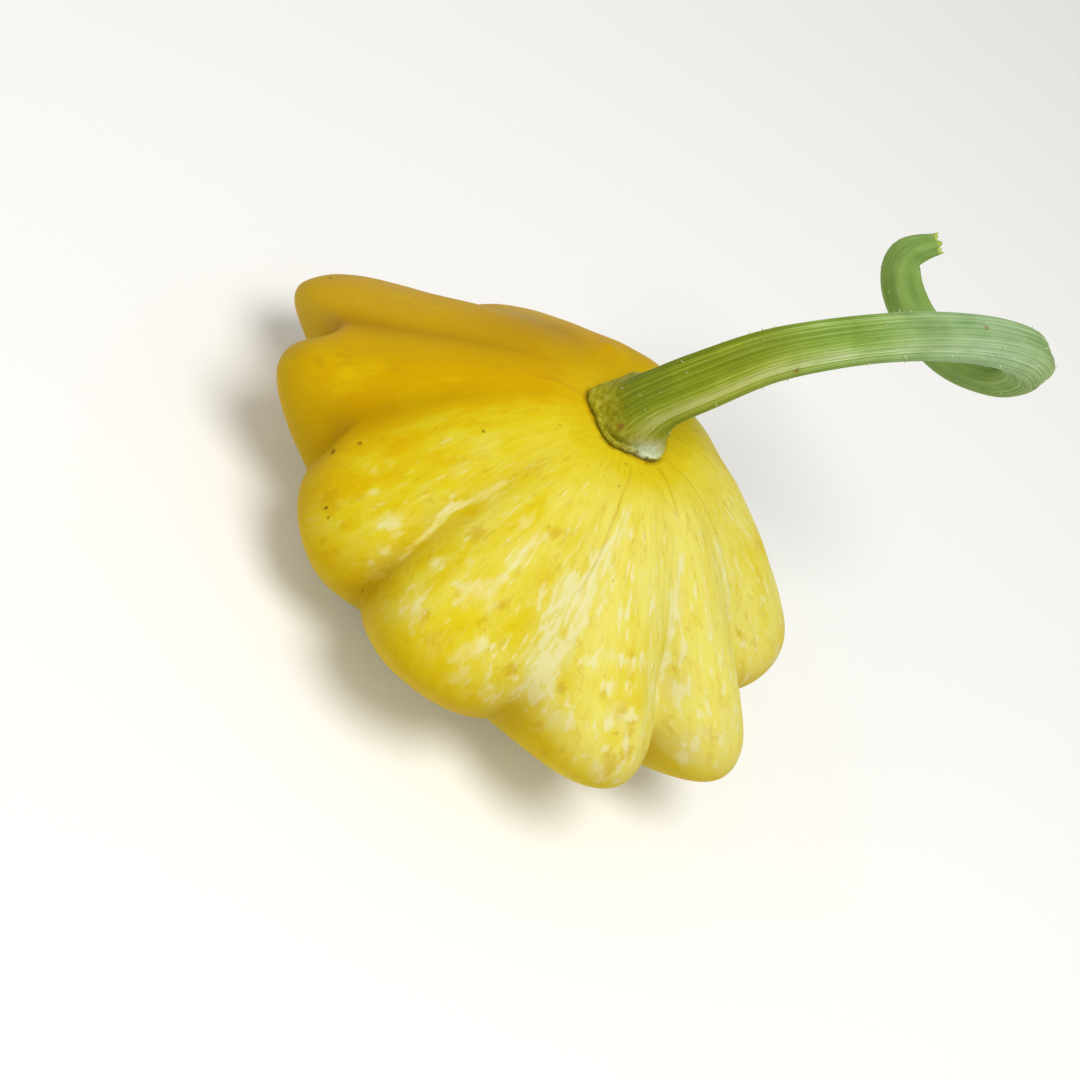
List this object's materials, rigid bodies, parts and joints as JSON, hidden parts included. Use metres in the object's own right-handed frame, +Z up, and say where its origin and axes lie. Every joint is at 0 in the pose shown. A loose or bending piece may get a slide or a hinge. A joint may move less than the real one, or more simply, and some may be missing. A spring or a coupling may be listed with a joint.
{
  "type": "pattypan squash",
  "caption": "Scalloped, flying-saucer-shaped summer squash with rounded rim lobes and a long, ridged, curled stem; rests on its blossom end.",
  "frame": {"origin": "centre of the flat resting spot at the blossom end, under the middle of the squash", "axes": "+Z up along the squash's axis, from the blossom end to the stem; -Y faces the viewer of the picture; the stem curls towards +X and +Y"},
  "size_m": [0.1577, 0.1769, 0.12],
  "materials": {
    "skin": "waxy satin rind, golden yellow with paler flecks",
    "stem_green": "matt ridged green stem, lighter on its ridges"
  },
  "bodies": {
    "root": {"fruit": "skin", "stem": "stem_green"}
  },
  "joints": []
}
